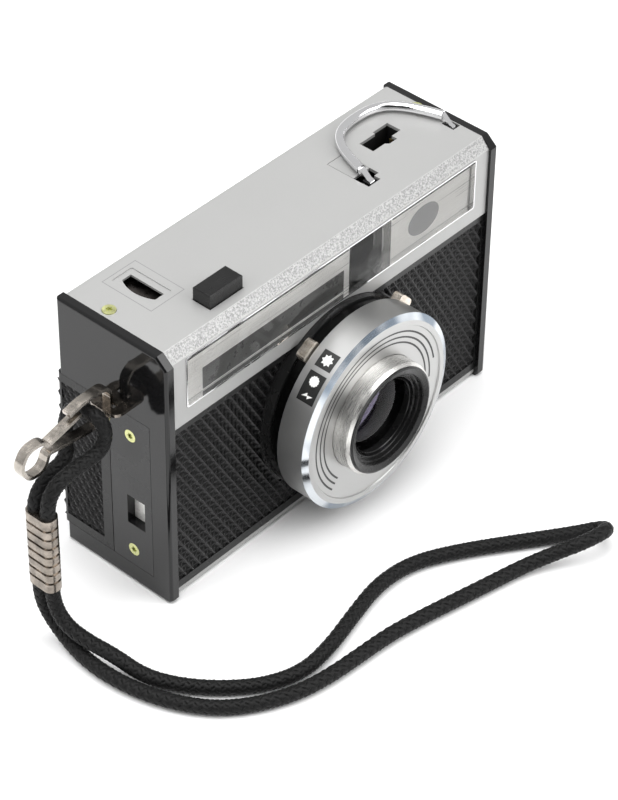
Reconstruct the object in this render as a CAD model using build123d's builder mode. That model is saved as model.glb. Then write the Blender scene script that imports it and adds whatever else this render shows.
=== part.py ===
from build123d import *
from math import atan2, cos, degrees, pi, radians, sin, tan
import os

# Compact 35 mm viewfinder camera with a bulb-flash socket and a wrist strap.
# Millimetres. +Z is up, -Y is the lens side, +X is right when facing the lens.
# The origin is the mouth of the tripod bush, in the plane that the camera stands on.

# ---- driving dimensions -------------------------------------------------------
BODY_W, BODY_D, BODY_H = 110.0, 32.0, 71.0
HALF_W, FRONT, REAR = BODY_W / 2, -BODY_D / 2, BODY_D / 2
CAP_T = 2.4            # end cap thickness
CAP_PROUD = 0.7        # end caps stand this far in front of the front band
SKIN = 0.8             # sheet aluminium of the top cover
BAND_Z = 50.0          # lower edge of the top cover's front band
BEVEL_Y, BEVEL_Z = 2.3, 2.6
DOOR_Z0, DOOR_Z1 = 5.2, 49.8
DOOR_T = 1.3
INNER_X = HALF_W - CAP_T          # inside faces of the end caps
LENS_X, LENS_Z = 0.0, 29.5
COLLAR_R = 24.0
LENS = Plane(origin=(LENS_X, 0, LENS_Z), x_dir=(1, 0, 0), z_dir=(0, -1, 0))
CASSETTE_R, CASSETTE_X, CASSETTE_Y = 11.6, 40.4, 3.0
GATE = 24.0            # square picture size
FILM_Y = 12.6          # film plane
WIRE_R = 1.15          # flash bail wire
BAIL_X = (22.6, 51.2)
BAIL_Y, BAIL_Z = -5.9, 70.2
BUTTON = (-30.4, -8.6)
COUNTER = (-34.6, 5.0)
LEVER_AXIS = (-31.0, 8.6)
RELEASE_X, LEVER_Z = 2.0, 56.6     # pivot of the release lever
SHAFT_AXIS = (-22.0, 8.6)
HINGE_X, HINGE_Y = 53.5, 15.5
LUG_Z = 52.5
STRAP_Y = -1.5         # centre of the strap clip
CORD_D = 3.7
CLEAR = 0.05           # radial clearance of a running fit
DRUM_BACK = FRONT - 4.9           # rear edge of the satin drum
FACE_Y = FRONT - 13.1             # foremost edge of the front ring
BARREL_Y = FRONT - 16.8           # front of the lens barrel
BLADE_ARM, PLATE_ARM = 8.5, 9.5   # shutter blade and aperture plate, pivot to lens axis
SCREW_R = 1.6
FLOOR_Z, DECK_Z = 6.3, 49.6       # top of the chassis floor, underside of the deck
CHAMBER_H = DECK_Z - FLOOR_Z
CHAMBER_MID = (DECK_Z + FLOOR_Z) / 2
SEAM_FRONT = -11.3     # front edge of the screwed side panel
SEAM_REAR = 1.2        # its rear edge, where the door's flap begins
WINDOW_Y, WINDOW_Z = -6.35, 21.7
SIDE_SCREW_Y, SIDE_SCREW_Z = -5.2, (9.9, 43.9)
LUG_Y, LUG_W, LUG_T = -1.65, 8.9, 0.8

os.makedirs("parts", exist_ok=True)


def save(part, name):
    part.label = name
    export_step(part, f"parts/{name}.step")


def at_lens(y):
    """Plane across the lens axis at depth y, facing forwards."""
    return LENS.offset(-y)


# ---- outer shell ----------------------------------------------------------------
def cap_outline():
    """Side view of an end cap, drawn on YZ, with the bevelled top front corner."""
    front = FRONT - CAP_PROUD
    with BuildLine() as line:
        Polyline((front + 0.8, 0), (REAR + 0.2, 0), (REAR + 0.2, BODY_H), (FRONT + BEVEL_Y, BODY_H),
                 (front, BODY_H - BEVEL_Z), (front, 0.9), close=True)
    return line.line


def end_cap(side):
    """Moulded end plate. side is -1 at the left and +1 at the right."""
    outer = side * HALF_W
    with BuildPart() as cap:
        with BuildSketch(Plane.YZ.offset(outer - side * CAP_T)):
            add(cap_outline())
            make_face()
        extrude(amount=side * CAP_T)
        rim = cap.faces().sort_by(Axis.X)[0 if side < 0 else -1]
        fillet(rim.edges(), 0.7)
        if side < 0:
            # pocket for the door's side flap and the screwed side panel
            with BuildSketch(Plane.YZ.offset(outer)):
                with Locations(((SEAM_FRONT + REAR + 1) / 2, (DOOR_Z0 + DOOR_Z1) / 2)):
                    Rectangle(REAR + 1 - SEAM_FRONT, DOOR_Z1 - DOOR_Z0)
            extrude(amount=DOOR_T, mode=Mode.SUBTRACT)
            # the door's back panel closes over this edge
            with Locations((outer, REAR + 0.9, (DOOR_Z0 + DOOR_Z1) / 2)):
                Box(2 * CAP_T + 1, 2.8, DOOR_Z1 - DOOR_Z0, mode=Mode.SUBTRACT)
            with Locations((outer, LUG_Y, LUG_Z)):
                Box(2 * CAP_T + 1, LUG_W, LUG_T, mode=Mode.SUBTRACT)
            with BuildSketch(Plane.YZ.offset(outer)):
                with Locations((WINDOW_Y, WINDOW_Z)):
                    Rectangle(5.6, 8.6)
            extrude(amount=CAP_T, mode=Mode.SUBTRACT)
            with Locations(Plane.YZ.offset(outer)):
                with Locations(*[(SIDE_SCREW_Y, z) for z in SIDE_SCREW_Z]):
                    Hole(1.05)
        else:
            # room for the door hinge's knuckles
            with Locations((HINGE_X, HINGE_Y, (DOOR_Z0 + DOOR_Z1) / 2)):
                Cylinder(1.9, DOOR_Z1 - DOOR_Z0, mode=Mode.SUBTRACT)
            with Locations((HALF_W - 1, REAR + 0.6, (DOOR_Z0 + DOOR_Z1) / 2)):
                Box(6, 2.2, DOOR_Z1 - DOOR_Z0, mode=Mode.SUBTRACT)
    return cap.part


save(end_cap(-1), "end_cap_left")
save(end_cap(1), "end_cap_right")

COVER_HALF = INNER_X            # the cover lies between the caps
TOP_SCREWS = ((-50.3, 4.6), (51.0, 4.8))
SLOT_W = (4.0, 2.4)             # bail slots, left and right
SLOT_Y0, SLOT_Y1 = BAIL_Y - 1.5, BAIL_Y + 2.1
FLAP_X0, FLAP_X1, FLAP_Y0, FLAP_Y1 = 20.4, 25.8, -5.4, 5.0
WIN_X0, WIN_X1, WIN_Z0, WIN_Z1 = -48.3, 48.0, 54.1, 68.0


def cover_section(inset):
    """Closed outline of the folded cover on YZ, moved inwards by inset."""
    with BuildLine() as line:
        Polyline((FRONT + inset, BAND_Z), (FRONT + inset, BODY_H - BEVEL_Z - inset * 0.6),
                 (FRONT + BEVEL_Y + inset * 0.5, BODY_H - inset), (REAR - inset, BODY_H - inset),
                 (REAR - inset, BAND_Z), close=True)
    return line.line


def t_socket():
    """T-shaped mouth of the bulb socket, on the cover's top."""
    with BuildLine() as line:
        Polyline((31.2, 0.7), (31.2, 4.9), (36.6, 4.9), (36.6, 5.6), (41.7, 5.6), (41.7, 1.5),
                 (38.6, 1.5), (38.6, -0.1), (36.0, -0.1), (35.2, 0.7), close=True)
    return line.line


def counter_mouth():
    """Counter opening: one straight side and one bowed side."""
    with BuildLine() as line:
        Polyline((-38.2, 0.0), (-38.2, 10.0), (-40.9, 10.0))
        ThreePointArc((-40.9, 10.0), (-42.3, 5.0), (-40.9, 0.0))
        Line((-40.9, 0.0), (-38.2, 0.0))
    return line.line


def top_cover():
    with BuildPart() as cover:
        with BuildSketch(Plane.YZ.offset(-COVER_HALF)):
            add(cover_section(0))
            make_face()
        extrude(amount=2 * COVER_HALF)
        rear_top = cover.edges().filter_by(Axis.X).group_by(Axis.Z)[-1].sort_by(Axis.Y)[-1]
        fillet(rear_top, 1.2)
        with BuildSketch(Plane.YZ.offset(-COVER_HALF - 1)):
            add(cover_section(SKIN))
            make_face()
            with Locations((0, BAND_Z)):
                Rectangle(BODY_D - 2 * SKIN, 4)
        extrude(amount=2 * COVER_HALF + 2, mode=Mode.SUBTRACT)
        top = Plane.XY.offset(BODY_H + 1)
        # front window
        with BuildSketch(Plane.XZ.offset(-FRONT + 1)):
            with Locations(((WIN_X0 + WIN_X1) / 2, (WIN_Z0 + WIN_Z1) / 2)):
                RectangleRounded(WIN_X1 - WIN_X0, WIN_Z1 - WIN_Z0, 0.6)
        extrude(amount=-3, mode=Mode.SUBTRACT)
        # the band is notched round the lens collar
        with Locations(at_lens(FRONT)):
            Cylinder(COLLAR_R + 0.1, 4, mode=Mode.SUBTRACT)
        # openings in the top
        with BuildSketch(top):
            with Locations(BUTTON):
                Rectangle(10.6, 5.5)
            with Locations((BAIL_X[0] - 0.2, (SLOT_Y0 + SLOT_Y1) / 2)):
                Rectangle(SLOT_W[0], SLOT_Y1 - SLOT_Y0)
            with Locations((BAIL_X[1], (SLOT_Y0 + SLOT_Y1) / 2)):
                Rectangle(SLOT_W[1], SLOT_Y1 - SLOT_Y0)
            with Locations(((FLAP_X0 + FLAP_X1) / 2, (FLAP_Y0 + FLAP_Y1) / 2)):
                Rectangle(FLAP_X1 - FLAP_X0 + 0.2, FLAP_Y1 - FLAP_Y0 + 0.3)
            with BuildLine():
                add(t_socket())
            make_face()
            with BuildLine():
                add(counter_mouth())
            make_face()
        extrude(amount=-3, mode=Mode.SUBTRACT)
        with Locations(top):
            with Locations(*TOP_SCREWS):
                CounterBoreHole(1.05, SCREW_R + 0.05, 1.4, depth=3)
        # counter seat: a shallow recess round the opening
        with BuildSketch(Plane.XY.offset(BODY_H)):
            with Locations((-39.6, 5.3)):
                RectangleRounded(6.2, 12.2, 0.5)
        extrude(amount=-0.25, mode=Mode.SUBTRACT)
        # rear: eyepiece hole and the thumb lever's slot
        with BuildSketch(Plane.XZ.offset(-REAR - 1)):
            with Locations((13.0, 60.8)):
                RectangleRounded(9.0, 7.0, 1.0)
            with Locations((-31.0, 55.2)):
                SlotOverall(25.0, 2.6)
        extrude(amount=4, mode=Mode.SUBTRACT)
    return cover.part


save(top_cover(), "top_cover")

BASE_Z = 0.65
LATCH_X = -36.0
with BuildPart() as base_plate:
    with BuildSketch(Plane.XY.offset(BASE_Z)):
        Rectangle(2 * INNER_X, BODY_D - 1.4)
    extrude(amount=1.2)
    with Locations((0, 0, 0.5)):
        Cylinder(5.05, 6, mode=Mode.SUBTRACT)
    with BuildSketch(Plane.XY.offset(BASE_Z)):
        with Locations((LATCH_X, 12.0)):
            Rectangle(12.2, 2.9)
    extrude(amount=2, mode=Mode.SUBTRACT)
    with Locations(Plane.XY.offset(BASE_Z)):
        with GridLocations(88, 20, 2, 2):
            Hole(1.05)
save(base_plate.part, "base_plate")

with BuildPart() as tripod_bush:
    with Locations((0, 0, 3.5)):
        Cylinder(5.0, 7.0)
    with Locations((0, 0, 2.75)):
        Cylinder(2.6, 5.5, mode=Mode.SUBTRACT)
save(tripod_bush.part, "tripod_bush")

PANEL_Y = FRONT + 0.5            # face of the front panel
with BuildPart() as front_panel:
    with BuildSketch(Plane.XZ.offset(-PANEL_Y)):
        with Locations((0, 26.0)):
            Rectangle(2 * INNER_X - 0.1, 48.0)
        with Locations((LENS_X, LENS_Z)):
            Circle(20.2, mode=Mode.SUBTRACT)
    extrude(amount=-1.2)
    with BuildSketch(Plane.XZ.offset(-PANEL_Y)):
        with Locations((0, 26.0)):
            Rectangle(2 * INNER_X - 1.0, 43.6)
        with Locations((LENS_X, LENS_Z)):
            Circle(24.4, mode=Mode.SUBTRACT)
    extrude(amount=-0.5, mode=Mode.SUBTRACT)
save(front_panel.part, "front_panel")

# ---- chassis ----------------------------------------------------------------------
BOARD_Y = PANEL_Y + 1.2
with BuildPart() as lens_board:
    with BuildSketch(Plane.XZ.offset(-BOARD_Y)):
        with Locations((0, CHAMBER_MID)):
            Rectangle(2 * INNER_X, CHAMBER_H)
        with Locations((LENS_X, LENS_Z)):
            Circle(16.7, mode=Mode.SUBTRACT)
    extrude(amount=-1.3)
save(lens_board.part, "lens_board")

with BuildPart() as chassis_floor:
    with Locations((0, 0.2, 5.75)):
        Box(2 * INNER_X, BODY_D - 3.2, 1.1)
    with Locations((0, 0, 5.75)):
        Cylinder(5.05, 2, mode=Mode.SUBTRACT)
    with Locations((LATCH_X, 12.0, 5.75)):
        Box(12.2, 2.9, 3, mode=Mode.SUBTRACT)
    with Locations((SHAFT_AXIS[0], SHAFT_AXIS[1], 5.75)):
        Cylinder(1.2 + CLEAR, 2, mode=Mode.SUBTRACT)
save(chassis_floor.part, "chassis_floor")

with BuildPart() as chassis_deck:
    with Locations((0, 0.2, 50.2)):
        Box(2 * INNER_X, BODY_D - 3.2, 1.2)
    with Locations((SHAFT_AXIS[0], SHAFT_AXIS[1], 50.2)):
        Cylinder(1.2 + CLEAR, 2, mode=Mode.SUBTRACT)
    with Locations((-8.0, -12.4, 50.2)):
        Box(5.0, 3.2, 3, mode=Mode.SUBTRACT)
    # upright with the release lever's headed stud
    with Locations((RELEASE_X, -10.9, 54.2)):
        Box(4.0, 1.0, 7.6)
    with Locations((RELEASE_X, -12.3, LEVER_Z)):
        Cylinder(0.8, 2.8, rotation=(90, 0, 0))
    with Locations((RELEASE_X, -13.4, LEVER_Z)):
        Cylinder(1.4, 0.5, rotation=(90, 0, 0))
    # headed post of the advance lever
    with Locations((*LEVER_AXIS, 54.1)):
        Cylinder(1.5, 6.6)
    with Locations((*LEVER_AXIS, 57.7)):
        Cylinder(2.6, 0.6)
save(chassis_deck.part, "chassis_deck")


def film_chamber(side):
    """U-shaped cassette well, open to the back."""
    with BuildPart() as well:
        with BuildSketch(Plane.XY.offset(FLOOR_Z)):
            with Locations((side * CASSETTE_X, CASSETTE_Y)):
                Circle(CASSETTE_R + 0.4)
            with Locations((side * CASSETTE_X, CASSETTE_Y + 5.0)):
                Rectangle(2 * CASSETTE_R + 0.8, 10.0)
            offset(amount=0.9)
            with Locations((side * CASSETTE_X, CASSETTE_Y + 11.0)):
                Rectangle(30, 4.0, mode=Mode.SUBTRACT)
            with Locations((side * CASSETTE_X, CASSETTE_Y)):
                Circle(CASSETTE_R, mode=Mode.SUBTRACT)
            with Locations((side * CASSETTE_X, CASSETTE_Y + 6.0)):
                Rectangle(2 * CASSETTE_R, 12.0, mode=Mode.SUBTRACT)
            # the outer side is the end cap itself
            with Locations((side * (INNER_X + 9.8), CASSETTE_Y)):
                Rectangle(20, 40, mode=Mode.SUBTRACT)
        extrude(amount=CHAMBER_H)
    return well.part


save(film_chamber(-1), "chamber_left")
save(film_chamber(1), "chamber_right")

with BuildPart() as film_gate:
    with Locations((0, FILM_Y - 4.0, CHAMBER_MID)):
        Box(35.0, 8.0, CHAMBER_H)
    # light tunnel, narrower towards the lens
    with BuildSketch(Plane.XZ.offset(-FILM_Y)):
        with Locations((0, LENS_Z)):
            Rectangle(GATE, GATE)
    with BuildSketch(Plane.XZ.offset(-FILM_Y + 8.0)):
        with Locations((0, LENS_Z)):
            Rectangle(GATE - 6, GATE - 6)
    loft(mode=Mode.SUBTRACT)
    with Locations((0, 0, 0)):
        Cylinder(5.2, 20, mode=Mode.SUBTRACT)
    # film channel between two rails
    with Locations((0, FILM_Y, CHAMBER_MID)):
        Box(36.0, 0.8, 35.4, mode=Mode.SUBTRACT)
save(film_gate.part, "film_gate")

with BuildPart() as side_panel:
    with BuildSketch(Plane.YZ.offset(-HALF_W)):
        with Locations(((SEAM_FRONT + SEAM_REAR) / 2, (DOOR_Z0 + DOOR_Z1) / 2)):
            Rectangle(SEAM_REAR - SEAM_FRONT - 0.2, DOOR_Z1 - DOOR_Z0 - 0.2)
        with Locations((WINDOW_Y, WINDOW_Z)):
            Rectangle(5.4, 8.3, mode=Mode.SUBTRACT)
    extrude(amount=DOOR_T)
    with Locations(Plane.YZ.offset(-HALF_W)):
        with Locations(*[(SIDE_SCREW_Y, z) for z in SIDE_SCREW_Z]):
            Cylinder(SCREW_R + 0.05, 1.4, mode=Mode.SUBTRACT)
            Cylinder(1.05, 6, mode=Mode.SUBTRACT)
save(side_panel.part, "side_panel")

with BuildPart() as indicator_plate:
    with Locations((-HALF_W + CAP_T + 0.2, WINDOW_Y, WINDOW_Z)):
        Box(0.4, 7.4, 10.4)
save(indicator_plate.part, "indicator_plate")


def screw(axis_plane, length):
    """Countersunk-look screw: flat ring head with a star socket, shank behind it."""
    with BuildPart() as one:
        with BuildSketch(axis_plane):
            Circle(SCREW_R)
        extrude(amount=-0.65)
        with BuildSketch(axis_plane):
            for turn in range(3):
                with Locations(Rotation(0, 0, 60 * turn)):
                    Rectangle(1.5, 0.42)
        extrude(amount=-0.5, mode=Mode.SUBTRACT)
        with BuildSketch(axis_plane.offset(-0.65)):
            Circle(1.0)
        extrude(amount=-length)
    return one.part


def screw_group(planes, length, name):
    save(Compound(children=[screw(plane, length) for plane in planes]), name)


top_planes = [Plane(origin=(x, y, BODY_H + 0.25), z_dir=(0, 0, 1)) for x, y in TOP_SCREWS]
side_planes = [Plane(origin=(-HALF_W + 0.02, SIDE_SCREW_Y, z), x_dir=(0, 1, 0), z_dir=(-1, 0, 0))
               for z in SIDE_SCREW_Z]
screw_group(top_planes + side_planes, 3.0, "cover_screws")
base_planes = [Plane(origin=(x, y, 0), x_dir=(1, 0, 0), z_dir=(0, 0, -1))
               for x in (-44, 44) for y in (-10, 10)]
screw_group(base_planes, 4.4, "base_screws")

# ---- front window, finder --------------------------------------------------------------
with BuildPart() as window_rim:
    with BuildSketch(Plane.XZ.offset(-FRONT + 0.25)):
        with Locations(((WIN_X0 + WIN_X1) / 2, (WIN_Z0 + WIN_Z1) / 2)):
            RectangleRounded(WIN_X1 - WIN_X0 - 0.04, WIN_Z1 - WIN_Z0 - 0.04, 0.58)
            RectangleRounded(WIN_X1 - WIN_X0 - 0.7, WIN_Z1 - WIN_Z0 - 0.7, 0.35, mode=Mode.SUBTRACT)
    extrude(amount=-1.6)
save(window_rim.part, "window_rim")

with BuildPart() as front_window:
    with BuildSketch(Plane.XZ.offset(-FRONT + 0.15)):
        with Locations(((WIN_X0 + WIN_X1) / 2, (WIN_Z0 + WIN_Z1) / 2)):
            RectangleRounded(WIN_X1 - WIN_X0 - 0.72, WIN_Z1 - WIN_Z0 - 0.72, 0.34)
    extrude(amount=-1.3)
save(front_window.part, "front_window")

FINDER_X0, FINDER_X1 = 5.6, 19.8
FOIL_Y = FRONT - 0.15 + 1.3
foils = []
for x0, x1 in ((WIN_X0 + 0.4, FINDER_X0), (FINDER_X1, WIN_X1 - 0.4)):
    with BuildPart() as foil:
        with Locations(((x0 + x1) / 2, FOIL_Y + 0.1, (WIN_Z0 + WIN_Z1) / 2)):
            Box(x1 - x0, 0.2, WIN_Z1 - WIN_Z0 - 0.8)
    foils.append(foil.part)
save(Compound(children=foils), "foil_panels")

FINDER_X = (FINDER_X0 + FINDER_X1) / 2
FINDER_W = FINDER_X1 - FINDER_X0
with BuildPart() as finder_tube:
    with Locations((FINDER_X, 0.2, 60.6)):
        Box(FINDER_W + 0.6, 25.6, 13.8)
        Box(FINDER_W - 1.4, 27.0, 11.8, mode=Mode.SUBTRACT)
save(finder_tube.part, "finder_tube")

with BuildPart() as finder_frame:
    with BuildSketch(Plane.XZ.offset(-FOIL_Y)):
        with Locations((FINDER_X, 61.05)):
            Rectangle(FINDER_W, 13.0)
        with Locations((FINDER_X - 1.2, 61.9)):
            RectangleRounded(FINDER_W - 2.6, 11.2, 4.2, mode=Mode.SUBTRACT)
    extrude(amount=-1.0)
save(finder_frame.part, "finder_frame")

with BuildPart() as finder_front_lens:
    with Locations((FINDER_X, -10.6, 60.6)):
        Box(FINDER_W - 1.4, 1.6, 11.8)
    with Locations((FINDER_X, -10.6 - 22.2, 60.6)):
        Cylinder(22.0, 30, mode=Mode.SUBTRACT)
save(finder_front_lens.part, "finder_front_lens")

with BuildPart() as finder_eyepiece:
    with Locations((FINDER_X, 13.5, 60.6)):
        Box(FINDER_W, 1.0, 13.2)
    with Locations((13.0, 14.7, 60.8)):
        Box(8.2, 1.4, 6.2)
save(finder_eyepiece.part, "finder_eyepiece")

# ---- button, counter, transport -----------------------------------------------------------
with BuildPart() as shutter_button:
    with Locations((BUTTON[0], BUTTON[1], BODY_H - 1.5 + 2.5)):
        Box(10.2, 5.1, 5.0)
        top_edges = shutter_button.edges().group_by(Axis.Z)[-1]
        fillet(top_edges, 0.35)
    with Locations((BUTTON[0], BUTTON[1], BODY_H - 2.0)):
        Box(11.6, 6.3, 1.2)
    with Locations((BUTTON[0], BUTTON[1], 63.3)):
        Cylinder(1.4, 10.4)
save(shutter_button.part, "shutter_button")

with BuildPart() as button_guide:
    with Locations((BUTTON[0], BUTTON[1], 61.5)):
        Box(13.0, 7.0, 1.0)
        Cylinder(1.4 + CLEAR, 3, mode=Mode.SUBTRACT)
    with Locations((BUTTON[0] - 6.3, BUTTON[1], 66.0)):
        Box(0.4, 7.0, 8.4)
    with Locations((BUTTON[0] + 6.3, BUTTON[1], 66.0)):
        Box(0.4, 7.0, 8.4)
save(button_guide.part, "button_guide")


def coil_spring(radius, wire, height, turns, base):
    """Round wire compression spring standing on base = (x, y, z)."""
    with BuildPart() as spring:
        with BuildLine(Plane(origin=base)) as path:
            Helix(pitch=height / turns, height=height, radius=radius)
        with BuildSketch(Plane(origin=path.line @ 0, z_dir=path.line % 0)):
            Circle(wire)
        sweep()
    return spring.part


save(coil_spring(2.2, 0.22, 5.4, 5, (BUTTON[0], BUTTON[1], 62.4)), "button_spring")

with BuildPart() as release_lever:
    with Locations(((BUTTON[0] - 1.5 + RELEASE_X) / 2, -12.4, LEVER_Z)):
        Box(RELEASE_X - BUTTON[0] + 1.5, 0.8, 2.4)
    with Locations((RELEASE_X, -12.4, LEVER_Z)):
        Cylinder(1.8, 0.8, rotation=(90, 0, 0))
        Cylinder(0.8 + CLEAR, 2, rotation=(90, 0, 0), mode=Mode.SUBTRACT)
    with Locations((BUTTON[0], -9.6, LEVER_Z + 0.8)):
        Box(3.6, 5.6, 0.8)
    with Locations((-8.0, -12.4, 49.4)):
        Box(1.8, 0.8, 13.6)
save(release_lever.part, "release_lever")


def gear_profile(teeth, module, phase=0.0):
    """Straight-flanked spur gear outline, one tooth centred on the phase angle."""
    pitch_r = teeth * module / 2
    tip_r, root_r = pitch_r + 0.8 * module, pitch_r - 1.15 * module
    step = 2 * pi / teeth
    corners = ((-0.27, root_r), (-0.12, tip_r), (0.12, tip_r), (0.27, root_r))
    return [(r * cos(phase + (tooth + share) * step), r * sin(phase + (tooth + share) * step))
            for tooth in range(teeth) for share, r in corners]


def gear(teeth, module, centre, base_z, thick, phase=0.0):
    """Adds a spur gear to the current part."""
    with BuildSketch(Plane(origin=(*centre, base_z))) as outline:
        with BuildLine():
            Polyline(*gear_profile(teeth, module, phase), close=True)
        make_face()
    extrude(outline.sketch, amount=thick)


MODULE, LEVER_TEETH, SHAFT_TEETH = 0.6, 20, 10
LEVER_REST = radians(140.0)
THUMB_R = 15.6
with BuildPart() as advance_lever:
    gear(LEVER_TEETH, MODULE, LEVER_AXIS, 52.2, 1.6)
    with Locations((*LEVER_AXIS, 55.0)):
        Cylinder(3.0, 4.0)
    arm = Plane(origin=(*LEVER_AXIS, 55.2), x_dir=(cos(LEVER_REST), sin(LEVER_REST), 0))
    with BuildSketch(arm):
        with Locations((7.8, 0)):
            Rectangle(15.6, 3.0)
    extrude(amount=0.9, both=True)
    with BuildSketch(arm):
        with Locations((THUMB_R, 0)):
            Circle(1.5)
    extrude(amount=2.6, both=True)
    with Locations((*LEVER_AXIS, 55.0)):
        Cylinder(1.5 + CLEAR, 12, mode=Mode.SUBTRACT)
save(advance_lever.part, "advance_lever")

with BuildPart() as transport_shaft:
    with Locations((*SHAFT_AXIS, 30.0)):
        Cylinder(1.2, 49.0)
    for wheel_z in (12.6, 43.2):
        with Locations((*SHAFT_AXIS, wheel_z)):
            Cylinder(3.2, 2.2)
        for tooth in range(8):
            with Locations(Plane(origin=(*SHAFT_AXIS, wheel_z)) * Rotation(0, 0, 45 * tooth)):
                with Locations((3.4, 0, 0)):
                    Box(0.9, 0.8, 0.9)
    gear(SHAFT_TEETH, MODULE, SHAFT_AXIS, 52.2, 1.6, phase=pi / SHAFT_TEETH)
save(transport_shaft.part, "transport_shaft")

COUNTER_R = 7.4
with BuildPart() as counter_disc:
    with Locations((*COUNTER, 68.4)):
        Cylinder(COUNTER_R, 0.8)
    gear(20, 0.62, COUNTER, 66.2, 1.0)
    with Locations((*COUNTER, 67.2)):
        Cylinder(2.0, 2.0)
        Cylinder(1.0 + CLEAR, 8, mode=Mode.SUBTRACT)
save(counter_disc.part, "counter_disc")

with BuildPart() as counter_bridge:
    with Locations((-34.0, 4.0, 60.6)):
        Box(25.0, 12.0, 1.0)
    for leg_x in (-46.0, -22.0):
        with Locations((leg_x, -0.5, 55.45)):
            Box(1.0, 3.0, 9.3)
    with Locations((*COUNTER, 65.2)):
        Cylinder(1.0, 8.4)
    with Locations((*COUNTER, 63.5)):
        Cylinder(1.8, 4.8)
save(counter_bridge.part, "counter_bridge")

# ---- flash ------------------------------------------------------------------------------------
SOCKET_X, SOCKET_Y = 36.6, 2.8
with BuildPart() as flash_socket:
    with Locations((SOCKET_X, SOCKET_Y, 64.2)):
        Box(13.0, 9.6, 11.8)
    with BuildSketch(Plane.XY.offset(BODY_H)):
        with BuildLine():
            add(t_socket())
        make_face()
        offset(amount=0.15)
    extrude(amount=-9.0, mode=Mode.SUBTRACT)
    # arm with two ears and a pin for the ejector flap
    with Locations((25.2, FLAP_Y1 - 0.9, 65.8)):
        Box(9.9, 2.0, 0.8)
    for ear_x in (FLAP_X0 + 0.1, FLAP_X1 - 0.05):
        with Locations((ear_x, FLAP_Y1 - 0.9, 67.8)):
            Box(0.5, 2.0, 4.2)
    with Locations(((FLAP_X0 + FLAP_X1) / 2, FLAP_Y1 - 0.9, BODY_H - 1.5)):
        Cylinder(0.4, 5.4, rotation=(0, 90, 0))
save(flash_socket.part, "flash_socket")

contacts = []
for contact_x in (31.2, 41.7):
    with BuildPart() as contact:
        with Locations((contact_x, 3.4, 64.5)):
            Box(0.3, 2.6, 5.0)
    contacts.append(contact.part)
save(Compound(children=contacts), "flash_contacts")

BAIL_GAPS = ((BAIL_X[0], 0.95), (BAIL_X[1], 0.75))     # wire leg, tongue to cheek
with BuildPart() as bail_bracket:
    with Locations(((BAIL_X[0] + BAIL_X[1]) / 2, BAIL_Y, 66.2)):
        Box(BAIL_X[1] - BAIL_X[0] + 2.1, 3.0, 1.0)
    for wire_x, gap in BAIL_GAPS:
        for side in (-1, 1):
            with Locations((wire_x + side * (gap + 0.15), BAIL_Y, 68.8)):
                Box(0.3, 2.4, 4.2)
        with Locations((wire_x, BAIL_Y, BAIL_Z)):
            Cylinder(0.55 + CLEAR, 6, rotation=(0, 90, 0), mode=Mode.SUBTRACT)
save(bail_bracket.part, "bail_bracket")

# the bail lies on the cover: an arch of round wire ending in two flat tongues on pivot pins
ARCH_Z = BODY_H + WIRE_R + 0.3
ARCH_Y0 = BAIL_Y + 2.7
BAIL_MID = (BAIL_X[0] + BAIL_X[1]) / 2
ARCH_TOP = 11.0
with BuildPart() as flash_bail:
    with BuildLine(Plane.XY.offset(ARCH_Z)) as arch:
        Bezier((BAIL_X[0], ARCH_Y0), (BAIL_X[0] + 3.2, ARCH_Y0 + 10.5), (BAIL_MID - 8.6, ARCH_TOP),
               (BAIL_MID, ARCH_TOP))
        Bezier((BAIL_MID, ARCH_TOP), (BAIL_MID + 8.6, ARCH_TOP), (BAIL_X[1] - 3.2, ARCH_Y0 + 10.5),
               (BAIL_X[1], ARCH_Y0))
    with BuildSketch(Plane(origin=arch.line @ 0, z_dir=arch.line % 0)):
        Circle(WIRE_R)
    sweep()
    for wire_x, gap in BAIL_GAPS:
        half = gap - 0.15
        with BuildSketch(Plane.YZ.offset(wire_x - half)):
            with BuildLine():
                Polyline((BAIL_Y - 0.35, BAIL_Z + 0.45), (ARCH_Y0 - 0.2, ARCH_Z + 0.6),
                         (ARCH_Y0 + 0.6, ARCH_Z), (ARCH_Y0 + 0.1, ARCH_Z - 0.7),
                         (BAIL_Y + 0.4, BAIL_Z - 0.4), close=True)
            make_face()
            with Locations((BAIL_Y, BAIL_Z)):
                Circle(0.9)
        extrude(amount=2 * half)
        with Locations((wire_x, BAIL_Y, BAIL_Z)):
            Cylinder(0.55, 2 * gap + 0.7, rotation=(0, 90, 0))
save(flash_bail.part, "flash_bail")

with BuildPart() as ejector_flap:
    with Locations(((FLAP_X0 + FLAP_X1) / 2, (FLAP_Y0 + FLAP_Y1) / 2 + 1.3, BODY_H - 0.35)):
        Box(FLAP_X1 - FLAP_X0, FLAP_Y1 - FLAP_Y0 - 2.6, 0.7)
    with Locations(((FLAP_X0 + FLAP_X1) / 2, FLAP_Y1 - 0.9, BODY_H - 1.5)):
        Cylinder(0.8, 4.4, rotation=(0, 90, 0))
        Box(4.4, 0.9, 1.6)
        Cylinder(0.4 + CLEAR, 8, rotation=(0, 90, 0), mode=Mode.SUBTRACT)
save(ejector_flap.part, "ejector_flap")

BATTERY_Z = DECK_Z + 1.2 + 7.0
with BuildPart() as flash_battery:
    with Locations((-7.3, 4.0, BATTERY_Z)):
        Cylinder(7.0, 21.4, rotation=(0, 90, 0))
    with Locations((-18.4, 4.0, BATTERY_Z)):
        Cylinder(2.4, 1.0, rotation=(0, 90, 0))
save(flash_battery.part, "flash_battery")

# ---- lens and shutter ------------------------------------------------------------------------------
def ring_on_axis(outer, inner, y_front, y_back):
    """Adds a ring round the lens axis, between two depths."""
    with BuildSketch(at_lens(y_front)) as section:
        Circle(outer)
        if inner:
            Circle(inner, mode=Mode.SUBTRACT)
    extrude(section.sketch, amount=-(y_back - y_front))


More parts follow.
